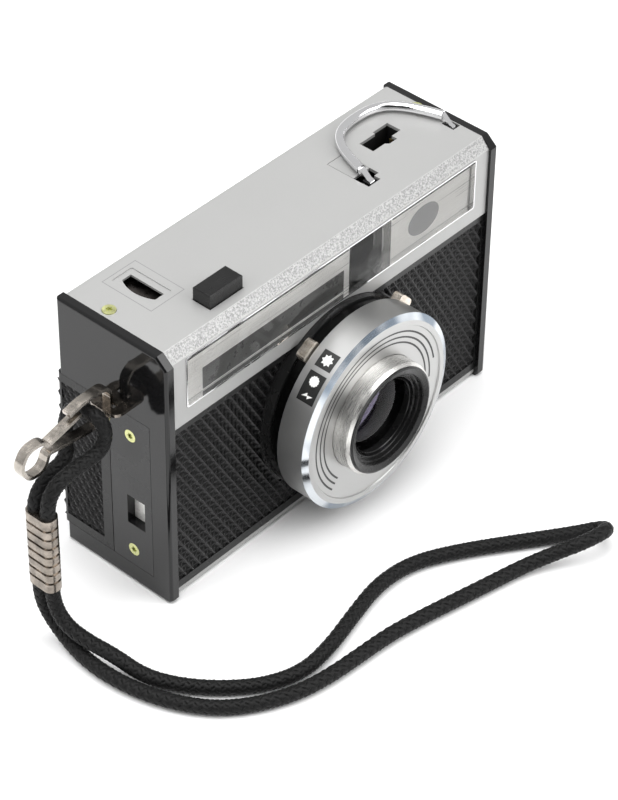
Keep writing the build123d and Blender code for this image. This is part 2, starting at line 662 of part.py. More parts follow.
with BuildPart() as shutter_housing:
    ring_on_axis(16.5, 15.0, BOARD_Y, FILM_Y - 9.2)
    ring_on_axis(16.5, 4.2, FILM_Y - 10.4, FILM_Y - 9.2)
    ring_on_axis(16.5, 4.2, BOARD_Y, BOARD_Y + 1.2)
    ring_on_axis(20.0, 15.0, PANEL_Y + 0.5, BOARD_Y)
    with Locations((-8.0, -12.4, LENS_Z + 14.0)):
        Box(5.0, 1.6, 6.0, mode=Mode.SUBTRACT)
    for pin_x in (-BLADE_ARM, PLATE_ARM):
        with Locations((pin_x, (BOARD_Y + FILM_Y - 9.6) / 2, LENS_Z)):
            Cylinder(0.7, FILM_Y - 9.6 - BOARD_Y - 0.6, rotation=(90, 0, 0))
save(shutter_housing.part, "shutter_housing")

with BuildPart() as shutter_blade:
    with BuildSketch(at_lens(-5.0)):
        Circle(4.6)
        with Locations((-BLADE_ARM / 2, 0)):
            Rectangle(BLADE_ARM, 2.6)
        with Locations((-BLADE_ARM, 0)):
            Circle(1.8)
            Circle(0.7 + CLEAR, mode=Mode.SUBTRACT)
    extrude(amount=0.3)
save(shutter_blade.part, "shutter_blade")

with BuildPart() as aperture_plate:
    with BuildSketch(at_lens(-7.5)):
        with Locations((PLATE_ARM, 0)):
            Circle(2.0)
        for turn in (0, -34):
            with Locations(Location((PLATE_ARM, 0), -turn) * Location((-PLATE_ARM, 0))):
                Circle(4.6)
        with Locations(Location((PLATE_ARM, 0), 17) * Location((-PLATE_ARM / 2, 0))):
            Rectangle(PLATE_ARM, 5.0)
        with Locations((PLATE_ARM, 0)):
            Circle(0.7 + CLEAR, mode=Mode.SUBTRACT)
        Circle(3.4, mode=Mode.SUBTRACT)
        with Locations(Location((PLATE_ARM, 0), 34) * Location((-PLATE_ARM, 0))):
            Circle(1.6, mode=Mode.SUBTRACT)
    extrude(amount=0.3)
save(aperture_plate.part, "aperture_plate")

COLLAR_Y = PANEL_Y - 2.2
with BuildPart() as lens_collar:
    ring_on_axis(COLLAR_R, 15.0, COLLAR_Y, PANEL_Y)
    ring_on_axis(20.0, 15.0, PANEL_Y, PANEL_Y + 0.5)
    ring_on_axis(20.6, 15.0, DRUM_BACK, COLLAR_Y)
save(lens_collar.part, "lens_collar")

with BuildPart() as selector_ring:
    ring_on_axis(23.4, 20.6 + CLEAR, DRUM_BACK + 0.15, COLLAR_Y - 0.15)
    for tab_angle in (122.0, 41.0):
        with BuildSketch(at_lens(DRUM_BACK + 0.35)):
            with Locations(Location((0, 0), tab_angle) * Location((24.4, 0))):
                RectangleRounded(3.6, 5.2, 1.1)
        extrude(amount=-2.3)
save(selector_ring.part, "selector_ring")

with BuildPart() as lens_drum:
    ring_on_axis(24.7, 22.0, FACE_Y + 0.75, DRUM_BACK)
    ring_on_axis(22.5, 15.0, DRUM_BACK - 1.2, DRUM_BACK)
save(lens_drum.part, "lens_drum")

with BuildPart() as front_ring:
    with BuildSketch(Plane.YZ):
        with BuildLine():
            Polyline((FACE_Y + 0.75, LENS_Z + 24.85), (FACE_Y, LENS_Z + 23.3), (FACE_Y, LENS_Z + 22.0),
                     (FACE_Y + 0.35, LENS_Z + 21.8), (FACE_Y + 0.9, LENS_Z + 14.3),
                     (FACE_Y + 2.2, LENS_Z + 14.3), (FACE_Y + 2.2, LENS_Z + 21.9),
                     (FACE_Y + 0.75, LENS_Z + 21.9), close=True)
        make_face()
    revolve(axis=Axis((0, 0, LENS_Z), (0, 1, 0)))
save(front_ring.part, "front_ring")

with BuildPart() as lens_barrel:
    ring_on_axis(14.2, 12.8, BARREL_Y, DRUM_BACK - 1.3)
    outer = lens_barrel.edges().filter_by(GeomType.CIRCLE).group_by(Axis.Y)[0].sort_by(SortBy.RADIUS)[-1]
    chamfer(outer, 0.7)
save(lens_barrel.part, "lens_barrel")

with BuildPart() as lens_bezel:
    for outer, inner, y_front, y_back in ((12.75, 11.6, BARREL_Y + 0.1, BARREL_Y + 1.4),
                                          (12.75, 10.9, BARREL_Y + 0.9, BARREL_Y + 2.6),
                                          (12.75, 10.1, BARREL_Y + 1.7, BARREL_Y + 7.0)):
        ring_on_axis(outer, inner, y_front, y_back)
save(lens_bezel.part, "lens_bezel")

DOME_R = 28.7
with BuildPart() as front_element:
    ring_on_axis(10.0, 0, BARREL_Y + 2.4, BARREL_Y + 6.0)
    with Locations((LENS_X, BARREL_Y + 2.4 + DOME_R, LENS_Z)):
        Sphere(DOME_R, mode=Mode.INTERSECT)
save(front_element.part, "front_element")

with BuildPart() as lens_cell:
    ring_on_axis(12.7, 7.6, BARREL_Y + 7.05, BARREL_Y + 12.0)
    ring_on_axis(14.9, 7.6, BARREL_Y + 12.0, BOARD_Y)
save(lens_cell.part, "lens_cell")

with BuildPart() as rear_element:
    ring_on_axis(7.55, 0, BARREL_Y + 9.0, BARREL_Y + 12.4)
    with Locations((LENS_X, BARREL_Y + 9.0 - 15.2, LENS_Z)):
        Sphere(16.0, mode=Mode.SUBTRACT)
save(rear_element.part, "rear_element")

# ---- back door ------------------------------------------------------------------------------------
DOOR_Y0, DOOR_Y1 = REAR - 0.2, REAR + 1.1       # inner and outer face of the back panel
DOOR_BOTTOM, DOOR_TOP = DOOR_Z0 + 0.1, DOOR_Z1 - 0.1
DOOR_MID, DOOR_H = (DOOR_BOTTOM + DOOR_TOP) / 2, DOOR_TOP - DOOR_BOTTOM
KNUCKLE_R, PIN_R = 1.5, 0.75
KNUCKLE_Z0, KNUCKLE_Z1 = 12.3, 42.7             # the door's own knuckle
GRAIN_DEPTH = 0.35                              # the textured fields are sunk by this much
CATCH_X, CATCH_Z = -32.9, 7.8                   # tab that the latch engages
STUD_Z = (13.0, 43.0)                           # pressure plate guides

with BuildPart() as back_door:
    with Locations(((HINGE_X - HALF_W) / 2, (DOOR_Y0 + DOOR_Y1) / 2, DOOR_MID)):
        Box(HINGE_X + HALF_W, DOOR_Y1 - DOOR_Y0, DOOR_H)
    with Locations((-HALF_W + (DOOR_T - 0.1) / 2, (SEAM_REAR + 0.1 + DOOR_Y1) / 2, DOOR_MID)):
        Box(DOOR_T - 0.1, DOOR_Y1 - SEAM_REAR - 0.1, DOOR_H)
    corner = back_door.edges().filter_by(Axis.Z).sort_by(Axis.X)[0:2].sort_by(Axis.Y)[-1]
    fillet(corner, 1.0)
    # textured fields on the flap and on the back
    with Locations((-HALF_W, 10.0, 27.55)):
        Box(2 * GRAIN_DEPTH, 11.6, 39.5, mode=Mode.SUBTRACT)
    with Locations((-1.0, DOOR_Y1, DOOR_MID)):
        Box(98.0, 2 * GRAIN_DEPTH, 39.5, mode=Mode.SUBTRACT)
    # room for the bracket's knuckles above and below the door's own
    for z0, z1 in ((DOOR_BOTTOM, KNUCKLE_Z0), (KNUCKLE_Z1, DOOR_TOP)):
        with Locations((HINGE_X, REAR, (z0 + z1) / 2)):
            Box(2 * (KNUCKLE_R + 0.4), 6, z1 - z0, mode=Mode.SUBTRACT)
    with Locations((HINGE_X, HINGE_Y, (KNUCKLE_Z0 + KNUCKLE_Z1) / 2)):
        Cylinder(KNUCKLE_R, KNUCKLE_Z1 - KNUCKLE_Z0)
        Cylinder(PIN_R + CLEAR, BODY_H, mode=Mode.SUBTRACT)
    with Locations((CATCH_X, 13.5, CATCH_Z)):
        Box(3.0, 4.6, 1.2)
    with Locations((CATCH_X - 1.5, 13.0, CATCH_Z)):
        Box(2.8, 2.2, 2.0, mode=Mode.SUBTRACT)
    for stud_z in STUD_Z:
        with Locations((0, (13.0 + DOOR_Y0) / 2, stud_z)):
            Cylinder(0.9, DOOR_Y0 - 13.0, rotation=(90, 0, 0))
save(back_door.part, "back_door")

with BuildPart() as hinge_bracket:
    for z0, z1 in ((FLOOR_Z + 0.2, KNUCKLE_Z0 - 0.3), (KNUCKLE_Z1 + 0.3, DECK_Z - 0.2)):
        with Locations((HINGE_X, HINGE_Y, (z0 + z1) / 2)):
            Cylinder(KNUCKLE_R, z1 - z0)
        with Locations((INNER_X - 0.3, 14.3, (z0 + z1) / 2)):
            Box(0.6, 2.4, z1 - z0)
    with Locations((INNER_X - 0.3, 13.1, CHAMBER_MID)):
        Box(0.6, 2.0, CHAMBER_H - 0.4)
    with Locations((HINGE_X, HINGE_Y, CHAMBER_MID)):
        Cylinder(PIN_R, BODY_H, mode=Mode.SUBTRACT)
save(hinge_bracket.part, "hinge_bracket")

with BuildPart() as door_hinge_pin:
    with Locations((HINGE_X, HINGE_Y, CHAMBER_MID)):
        Cylinder(PIN_R, CHAMBER_H - 0.2)
save(door_hinge_pin.part, "door_hinge_pin")

PLATE_Y = FILM_Y + 0.3
with BuildPart() as pressure_plate:
    with Locations((0, PLATE_Y + 0.4, CHAMBER_MID)):
        Box(34.0, 0.8, 38.0)
        vertical = pressure_plate.edges().filter_by(Axis.Y)
        fillet(vertical, 2.0)
    for stud_z in STUD_Z:
        with Locations((0, PLATE_Y, stud_z)):
            Cylinder(0.9 + CLEAR, 4, rotation=(90, 0, 0), mode=Mode.SUBTRACT)
save(pressure_plate.part, "pressure_plate")

LEAF_Y = PLATE_Y + 0.8
with BuildPart() as pressure_spring:
    with BuildSketch(Plane.XY.offset(CHAMBER_MID - 4)):
        with BuildLine():
            ThreePointArc((-14, LEAF_Y + 1.1), (0, LEAF_Y), (14, LEAF_Y + 1.1))
            Line((14, LEAF_Y + 1.1), (14, LEAF_Y + 1.4))
            ThreePointArc((14, LEAF_Y + 1.4), (0, LEAF_Y + 0.3), (-14, LEAF_Y + 1.4))
            Line((-14, LEAF_Y + 1.4), (-14, LEAF_Y + 1.1))
        make_face()
    extrude(amount=8.0)
    with Locations((0, LEAF_Y + 0.3, CHAMBER_MID)):
        Cylinder(1.5, 0.6, rotation=(90, 0, 0))
save(pressure_spring.part, "pressure_spring")

LATCH_MID = LATCH_X - 1.9
with BuildPart() as door_latch:
    with Locations((LATCH_MID, 12.0, 0.35)):
        Box(6.8, 4.8, 0.5)
    for ridge in range(4):
        with Locations((LATCH_MID - 1.8 + 1.2 * ridge, 12.0, 0.2)):
            Box(0.5, 3.6, 0.4)
    with Locations((LATCH_MID, 12.0, 1.3)):
        Box(6.8, 2.5, 1.5)
    with Locations((LATCH_MID, 12.0, 2.4)):
        Box(9.0, 4.4, 0.8)
    with Locations((LATCH_MID - 2.5, 12.0, 5.4)):
        Box(1.6, 2.4, 6.0)
    with Locations((LATCH_MID - 0.7, 13.0, CATCH_Z)):
        Box(3.6, 1.4, 1.2)
save(door_latch.part, "door_latch")

# ---- strap ------------------------------------------------------------------------------------------
CLIP_W, CLIP_T, SLOT_L = 2.4, 0.9, 4.0
CLIP_X = -57.6                                   # the clip passes the lug's slot here
with BuildPart() as strap_lug:
    with BuildSketch(Plane.XY.offset(LUG_Z - LUG_T / 2)):
        with Locations((-55.8, LUG_Y)):
            Rectangle(8.4, LUG_W)
        with Locations(((CLIP_X - CLIP_T / 2 - 56.6) / 2, STRAP_Y)):
            Rectangle(-56.6 - CLIP_X + CLIP_T / 2, SLOT_L, mode=Mode.SUBTRACT)
    extrude(amount=LUG_T)
    outer = strap_lug.edges().filter_by(Axis.Z).group_by(Axis.X)[0]
    fillet(outer, 2.2)
    with Locations((-52.0, LUG_Y, 51.45)):
        Box(0.8, LUG_W, 1.3)
save(strap_lug.part, "strap_lug")

CLIP_PATH = ((-66.5, 56.0), (-76.4, 53.5), (-77.9, 55.4), (-82.4, 55.4), (-84.6, 51.5), (-82.4, 47.6),
             (-77.9, 47.6), (-76.4, 51.3), (-66.0, 49.9), (CLIP_X, 49.4), (CLIP_X, 58.6), (-66.0, 58.5),
             (-69.9, 57.6))
CLIP_BENDS = (0.8, 3.1, 3.1, 3.1, 3.1, 3.1, 1.0, 6.0, 1.7, 3.0, 6.0)
with BuildPart() as strap_clip:
    with BuildSketch(Plane.XZ.offset(-STRAP_Y - CLIP_W / 2)):
        with BuildLine():
            FilletPolyline(*CLIP_PATH, radius=CLIP_BENDS)
        trace(line_width=CLIP_T)
    extrude(amount=CLIP_W)
save(strap_clip.part, "strap_clip")

FERRULE_X, FERRULE_Y, FERRULE_Z0, FERRULE_Z1 = -80.0, -2.95, 16.0, 37.0
with BuildPart() as strap_ferrule:
    with BuildSketch(Plane.XY.offset(FERRULE_Z0)):
        with Locations((FERRULE_X, FERRULE_Y)):
            RectangleRounded(4.4, 7.8, 1.9)
    extrude(amount=FERRULE_Z1 - FERRULE_Z0)
    for groove in range(7):
        with BuildSketch(Plane.XY.offset(FERRULE_Z0 + 2.4 + 2.6 * groove)):
            with Locations((FERRULE_X, FERRULE_Y)):
                RectangleRounded(6, 9, 2.5)
                RectangleRounded(3.8, 7.2, 1.6, mode=Mode.SUBTRACT)
        extrude(amount=0.7, mode=Mode.SUBTRACT)
save(strap_ferrule.part, "strap_ferrule")

LAY = CORD_D / 2 + 0.05                          # height of the cord's centre when it lies flat
STRAND_A, STRAND_B = FERRULE_Y - 1.95, FERRULE_Y + 1.95
WRIST_ROUTE = ((FERRULE_X, STRAND_A, 16.0), (FERRULE_X, STRAND_A, 11.5), (-80.2, -8.6, 7.2),
               (-79.8, -14.5, 5.9), (-78.0, -21.5, 4.6), (-76.6, -29.0, 2.4), (-73.0, -36.5, LAY),
               (-67.6, -43.7, LAY), (-60.5, -50.0, LAY), (-51.5, -53.6, LAY), (-41.5, -52.6, LAY),
               (-31.0, -50.0, LAY), (-20.0, -47.6, LAY), (-9.5, -48.6, LAY), (0.7, -54.0, LAY),
               (12.0, -61.8, LAY), (22.5, -69.3, LAY), (28.2, -73.5, LAY + 0.6), (25.6, -77.8, 6.6),
               (18.3, -75.9, 6.2), (13.8, -72.2, 4.0), (6.8, -68.1, LAY), (-2.6, -66.0, LAY),
               (-12.5, -63.7, LAY), (-21.1, -61.7, LAY), (-30.4, -59.9, LAY), (-39.9, -59.3, LAY),
               (-48.9, -58.6, LAY), (-57.2, -56.9, LAY), (-65.4, -53.0, LAY), (-72.2, -47.6, LAY),
               (-77.0, -40.2, LAY), (-80.0, -32.0, LAY), (-81.4, -23.5, LAY), (-81.2, -15.0, LAY),
               (-79.6, -7.5, 2.4), (-79.6, -2.6, 6.5), (FERRULE_X, STRAND_B, 11.5),
               (FERRULE_X, STRAND_B, 16.0))
HITCH_ROUTE = ((FERRULE_X, STRAND_A, 37.0), (FERRULE_X, STRAND_A, 41.4), (-76.4, -5.3, 45.3),
               (-69.6, -5.4, 45.6), (-63.0, -5.6, 46.2), (-62.8, -5.6, 54.2), (-64.4, 3.6, 54.2),
               (-66.4, 3.4, 46.4), (-69.6, -0.8, 44.7), (-75.4, -1.0, 43.9), (FERRULE_X, STRAND_B, 40.2),
               (FERRULE_X, STRAND_B, 37.0))


def bend_radii(route):
    """Largest even bend at each turn: 0.45 of the shorter run, over the half turn's tangent."""
    radii = []
    for before, here, after in zip(route, route[1:], route[2:]):
        run_in, run_out = Vector(*here) - Vector(*before), Vector(*after) - Vector(*here)
        half_turn = radians(run_in.get_angle(run_out)) / 2
        radii.append(round(0.45 * min(run_in.length, run_out.length) / tan(half_turn), 3))
    return radii


def cord(route, name):
    radii = bend_radii(route)
    with BuildPart() as tube:
        with BuildLine() as centre:
            FilletPolyline(*route, radius=radii)
        with BuildSketch(Plane(origin=route[0], z_dir=centre.line % 0)):
            Circle(CORD_D / 2)
        sweep()
    save(tube.part, name)
    length = sum(edge.length for edge in centre.line.edges())
    share = tube.part.volume / (pi * CORD_D ** 2 / 4 * length)
    print(name, "length", round(length, 1), "volume share", round(share, 4))
    print("  radii", radii)


cord(WRIST_ROUTE, "wrist_cord")
cord(HITCH_ROUTE, "hitch_cord")
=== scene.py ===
from math import cos, hypot, pi, radians, sin

import bmesh
import bpy
from mathutils import Matrix, Vector


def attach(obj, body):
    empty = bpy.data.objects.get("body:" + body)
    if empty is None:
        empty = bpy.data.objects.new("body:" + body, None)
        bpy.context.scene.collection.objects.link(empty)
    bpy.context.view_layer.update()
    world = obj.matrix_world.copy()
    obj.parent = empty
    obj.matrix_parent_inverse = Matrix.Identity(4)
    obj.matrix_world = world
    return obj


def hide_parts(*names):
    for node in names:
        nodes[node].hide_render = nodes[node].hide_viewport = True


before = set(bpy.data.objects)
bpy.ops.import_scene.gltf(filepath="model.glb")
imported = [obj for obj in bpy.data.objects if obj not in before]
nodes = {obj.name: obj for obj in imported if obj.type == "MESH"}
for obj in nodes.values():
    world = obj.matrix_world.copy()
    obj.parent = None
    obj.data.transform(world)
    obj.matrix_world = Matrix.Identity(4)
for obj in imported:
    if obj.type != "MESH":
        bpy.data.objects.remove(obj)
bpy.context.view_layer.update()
MM = 0.001


def mm(*values):
    return Vector([v * MM for v in values])


# ---- driving places, in millimetres in the row frame ---------------------------------
FRONT = -16.0                     # front face of the cover
LENS_Z = 29.5                     # height of the lens axis
PANEL_Y = FRONT + 0.5
FACE_Y = FRONT - 13.1
BARREL_Y = FRONT - 16.8            # front of the lens barrel
MARK_Y = FRONT - 9.05             # middle of the exposure marks on the drum
DRUM_R = 24.7
FOIL_Y = FRONT - 0.15 + 1.3
CELL = 2.36                       # pitch of the moulded lattice
ROW = CELL * sin(pi / 3)
FACE_GROOVE, BARREL_GROOVE = 0.00022, 0.00025     # pitch of the turned grooves, in metres

# ---- camera ---------------------------------------------------------------------------
AZIMUTH, ELEVATION, ROLL = radians(-48.365), radians(41.01), radians(0.696)


def make_camera():
    back = Vector((sin(AZIMUTH) * cos(ELEVATION), -cos(AZIMUTH) * cos(ELEVATION), sin(ELEVATION)))
    right = Vector((cos(AZIMUTH), sin(AZIMUTH), 0.0))
    up = back.cross(right)
    turned_right = right * cos(ROLL) + up * sin(ROLL)
    turned_up = up * cos(ROLL) - right * sin(ROLL)
    data = bpy.data.cameras.new("camera")
    data.sensor_width = 36.0
    data.lens = 138.87
    data.shift_x = 0.0086
    data.shift_y = 0.0056
    camera = bpy.data.objects.new("camera", data)
    rotation = Matrix((turned_right, turned_up, back)).transposed().to_4x4()
    camera.matrix_world = Matrix.Translation(Vector((-0.40467, -0.36598, 0.48931))) @ rotation
    bpy.context.scene.collection.objects.link(camera)
    bpy.context.scene.camera = camera


# ---- node helpers ---------------------------------------------------------------------
class Shader:
    """A new material with a principled shader, and short ways to add nodes to it."""

    def __init__(self, name, color, roughness, metallic=0.0, **sockets):
        self.material = bpy.data.materials.new(name)
        self.material.use_nodes = True
        self.tree = self.material.node_tree
        self.bsdf = self.tree.nodes["Principled BSDF"]
        self.output = self.tree.nodes["Material Output"]
        self.bsdf.inputs["Base Color"].default_value = (*color, 1.0)
        self.bsdf.inputs["Roughness"].default_value = roughness
        self.bsdf.inputs["Metallic"].default_value = metallic
        for socket, value in sockets.items():
            self.bsdf.inputs[socket.replace("_", " ")].default_value = value
        self.material.diffuse_color = (*color, 1.0)
        self.place = self.node("ShaderNodeTexCoord").outputs["Object"]
        self.height = None

    def node(self, kind, **properties):
        made = self.tree.nodes.new(kind)
        for key, value in properties.items():
            setattr(made, key, value)
        return made

    def link(self, source, target):
        self.tree.links.new(source, target)

    def math(self, operation, a, b=0.0, clamp=False):
        made = self.node("ShaderNodeMath", operation=operation, use_clamp=clamp)
        for socket, value in zip(made.inputs, (a, b)):
            if isinstance(value, (int, float)):
                socket.default_value = value
            else:
                self.link(value, socket)
        return made.outputs[0]

    def noise(self, scale, detail=3.0, roughness=0.5, stretch=None):
        made = self.node("ShaderNodeTexNoise")
        made.inputs["Scale"].default_value = scale
        made.inputs["Detail"].default_value = detail
        made.inputs["Roughness"].default_value = roughness
        place = self.place
        if stretch:
            mapping = self.node("ShaderNodeMapping")
            mapping.inputs["Scale"].default_value = stretch
            self.link(place, mapping.inputs["Vector"])
            place = mapping.outputs["Vector"]
        self.link(place, made.inputs["Vector"])
        return made.outputs["Fac"]

    def spread(self, value, low, high, from_low=0.3, from_high=0.7):
        made = self.node("ShaderNodeMapRange")
        self.link(value, made.inputs["Value"])
        for socket, number in zip(("From Min", "From Max", "To Min", "To Max"),
                                  (from_low, from_high, low, high)):
            made.inputs[socket].default_value = number
        return made.outputs["Result"]

    def mix_color(self, factor, a, b):
        made = self.node("ShaderNodeMix", data_type="RGBA")
        self.link(factor, made.inputs["Factor"])
        for socket, value in ((made.inputs[6], a), (made.inputs[7], b)):
            if isinstance(value, tuple):
                socket.default_value = (*value, 1.0)
            else:
                self.link(value, socket)
        return made.outputs[2]

    def bump(self, height, distance, strength=1.0):
        made = self.node("ShaderNodeBump")
        made.inputs["Distance"].default_value = distance
        made.inputs["Strength"].default_value = strength
        self.link(height, made.inputs["Height"])
        if self.height is not None:
            self.link(self.height, made.inputs["Normal"])
        self.height = made.outputs["Normal"]
        self.link(self.height, self.bsdf.inputs["Normal"])

    def rough(self, value):
        self.link(value, self.bsdf.inputs["Roughness"])

    def color(self, value):
        self.link(value, self.bsdf.inputs["Base Color"])

    def radius(self):
        """Distance from the lens axis, in metres."""
        split = self.node("ShaderNodeSeparateXYZ")
        self.link(self.place, split.inputs[0])
        up = self.math("SUBTRACT", split.outputs["Z"], LENS_Z * MM)
        squares = self.math("ADD", self.math("POWER", split.outputs["X"], 2.0),
                            self.math("POWER", up, 2.0))
        return self.math("SQRT", squares)


# ---- materials ------------------------------------------------------------------------
def gloss_black(name, level=0.012, roughness=0.13):
    s = Shader(name, (level, level, level * 1.05), roughness, Specular_IOR_Level=0.38)
    s.rough(s.spread(s.noise(60, 4), roughness * 0.7, roughness * 1.7))
    s.bump(s.noise(1400, 2), 0.000004)
    return s.material


def moulded_black(name, level, roughness):
    s = Shader(name, (level, level, level), roughness, Specular_IOR_Level=0.3)
    s.color(s.mix_color(s.spread(s.noise(220, 5), 0.0, 1.0), (level * 0.8,) * 3, (level * 1.3,) * 3))
    s.rough(s.spread(s.noise(320, 4), roughness * 0.8, roughness * 1.2))
    s.bump(s.noise(3200, 3), 0.00002)
    return s.material


def lattice_black():
    """Moulded lattice: colour follows the relief, with painted shade darkening the pits to near black and
    the high diagonal ribs left a little paler.
    """
    s = Shader("lattice_black", (0.02, 0.02, 0.02), 0.3, Specular_IOR_Level=0.12)
    rib = s.node("ShaderNodeAttribute", attribute_name="rib").outputs["Fac"]
    # painted shade: colour follows the rib height, near black in the pits and paler on the high ribs, with a
    # random tone on top
    painted_height_shade = s.math("MULTIPLY", s.math("POWER", rib, 3.0), s.spread(s.noise(260, 3), 0.6, 1.2))
    s.color(s.mix_color(painted_height_shade, (0.002, 0.002, 0.002), (0.040, 0.039, 0.040)))
    s.rough(s.spread(rib, 0.38, 0.24, 0.0, 1.0))
    s.bump(s.noise(3000, 2), 0.00001)
    return s.material


def satin_aluminium(name, level, roughness, grain, metallic=0.85):
    s = Shader(name, (level, level, level * 0.985), roughness, metallic)
    fine = s.noise(grain, 2, 0.6)
    s.color(s.mix_color(s.spread(s.noise(35, 3), 0.0, 1.0),
                        (level * 0.97, level * 0.97, level * 0.955), (level * 1.02,) * 3))
    s.rough(s.spread(fine, roughness * 0.85, roughness * 1.15))
    s.bump(fine, 0.00003, 0.35)
    return s.material


def cover_aluminium():
    """Satin sheet; the sloping strip along the front edge is coarsely stippled."""
    s = Shader("cover_satin", (0.40, 0.40, 0.395), 0.42, 0.35)
    split = s.node("ShaderNodeSeparateXYZ")
    s.link(s.place, split.inputs[0])
    sloping = s.math("MULTIPLY", s.math("GREATER_THAN", split.outputs["Z"], 68.5 * MM),
                     s.math("LESS_THAN", split.outputs["Y"], -13.78 * MM))
    grit = s.noise(2300, 2, 0.7)
    sparkle = s.mix_color(s.spread(grit, 0.0, 1.0, 0.35, 0.65), (0.20, 0.20, 0.20), (0.42, 0.42, 0.415))
    plain = s.mix_color(s.spread(s.noise(35, 3), 0.0, 1.0), (0.395, 0.395, 0.39), (0.41, 0.41, 0.405))
    s.color(s.mix_color(sloping, plain, sparkle))
    s.rough(s.spread(s.noise(3600, 2, 0.6), 0.36, 0.48))
    s.bump(s.math("MULTIPLY", s.noise(3600, 2, 0.6), s.math("ADD", 0.3, sloping)), 0.00003, 0.35)
    return s.material


def turned_aluminium():
    """Front ring: fine turned grooves, with the outer bevel polished bright and coloured with blotches of
    painted reflection.
    """
    s = Shader("turned_aluminium", (0.48, 0.48, 0.475), 0.3, 0.95)
    r = s.radius()
    grooves = s.math("SINE", s.math("MULTIPLY", r, 2 * pi / FACE_GROOVE))
    polished = s.spread(r, 0.0, 1.0, 23.15 * MM, 23.35 * MM)
    # painted reflection: the polished bevel's colour is blotched dark blue-grey and pale, standing in for
    # the room it mirrors
    reflection_spots = s.spread(s.noise(110, 1), 0.0, 1.0, 0.42, 0.58)
    painted_reflection = s.mix_color(reflection_spots, (0.20, 0.24, 0.29), (0.62, 0.65, 0.68))
    s.color(s.mix_color(polished, (0.48, 0.48, 0.475), painted_reflection))
    s.bump(grooves, 0.000004, 0.5)
    s.rough(s.math("SUBTRACT", 0.34, s.math("MULTIPLY", polished, 0.26)))
    return s.material


def turned_barrel():
    s = Shader("turned_barrel", (0.66, 0.65, 0.63), 0.28, 0.95)
    split = s.node("ShaderNodeSeparateXYZ")
    s.link(s.place, split.inputs[0])
    grooves = s.math("SINE", s.math("MULTIPLY", split.outputs["Y"], 2 * pi / BARREL_GROOVE))
    s.bump(grooves, 0.000004, 0.6)
    s.rough(s.spread(s.noise(400, 2, stretch=(1, 20, 1)), 0.2, 0.36))
    return s.material


def bright_metal(name, color, roughness, wear=0.0):
    s = Shader(name, color, roughness, 1.0)
    dull = s.noise(350, 5, 0.6)
    s.rough(s.spread(dull, roughness * 0.7, roughness * 1.6))
    if wear:
        dark = tuple(c * (1 - wear) for c in color)
        s.color(s.mix_color(s.spread(dull, 0.0, 1.0), dark, color))
    s.bump(s.noise(900, 3), 0.00001, 0.4)
    return s.material


def sheet_steel():
    s = Shader("sheet_steel", (0.55, 0.55, 0.56), 0.35, 1.0)
    s.rough(s.spread(s.noise(500, 4, stretch=(1, 12, 12)), 0.28, 0.45))
    s.bump(s.noise(900, 3, stretch=(1, 10, 10)), 0.00001)
    return s.material


def selector_metal():
    """Black ring with bare nickel tabs."""
    s = Shader("selector_metal", (0.02, 0.02, 0.02), 0.25, 0.9)
    tab = s.spread(s.radius(), 0.0, 1.0, 23.5 * MM, 23.6 * MM)
    painted_height_shade = s.mix_color(s.spread(s.noise(700, 4), 0.0, 1.0), (0.55, 0.48, 0.40), (0.86, 0.80, 0.72))
    s.color(s.mix_color(tab, (0.014, 0.014, 0.014), painted_height_shade))
    s.bump(s.noise(900, 3), 0.00002, 0.5)
    return s.material


def clear_glass(name, tint, gloss=0.02, ior=1.5):
    """Thin clear pane: light passes straight through, and the surface mirrors by Fresnel."""
    s = Shader(name, tint, gloss)
    clear = s.node("ShaderNodeBsdfTransparent")
    clear.inputs["Color"].default_value = (*tint, 1.0)
    mirror = s.node("ShaderNodeBsdfGlossy")
    mirror.inputs["Roughness"].default_value = gloss
    fresnel = s.node("ShaderNodeFresnel")
    fresnel.inputs["IOR"].default_value = ior
    mix = s.node("ShaderNodeMixShader")
    s.link(fresnel.outputs[0], mix.inputs[0])
    s.link(clear.outputs[0], mix.inputs[1])
    s.link(mirror.outputs[0], mix.inputs[2])
    s.link(mix.outputs[0], s.output.inputs["Surface"])
    return s.material


def printed_foil():
    """Bright pressed foil with a faint horizontal brushing."""
    s = Shader("printed_foil", (0.72, 0.71, 0.69), 0.38, 0.35)
    brushed = s.noise(600, 4, stretch=(0.05, 1, 3))
    s.color(s.mix_color(s.spread(brushed, 0.0, 1.0), (0.86, 0.85, 0.82), (0.97, 0.96, 0.93)))
    s.rough(s.spread(brushed, 0.25, 0.42))
    s.bump(brushed, 0.00001, 0.5)
    return s.material


def braided_yarn():
    s = Shader("braided_yarn", (0.008, 0.008, 0.008), 0.5, Specular_IOR_Level=0.16, Sheen_Weight=0.02)
    fibres = s.noise(2600, 4, 0.65)
    s.color(s.mix_color(s.spread(fibres, 0.0, 1.0), (0.002, 0.002, 0.002), (0.012, 0.012, 0.012)))
    s.rough(s.spread(fibres, 0.36, 0.62))
    s.bump(fibres, 0.00006, 0.8)
    return s.material


def flat_ink(name, color, roughness=0.4):
    s = Shader(name, color, roughness)
    s.rough(s.spread(s.noise(500, 3), roughness * 0.85, roughness * 1.15))
    return s.material


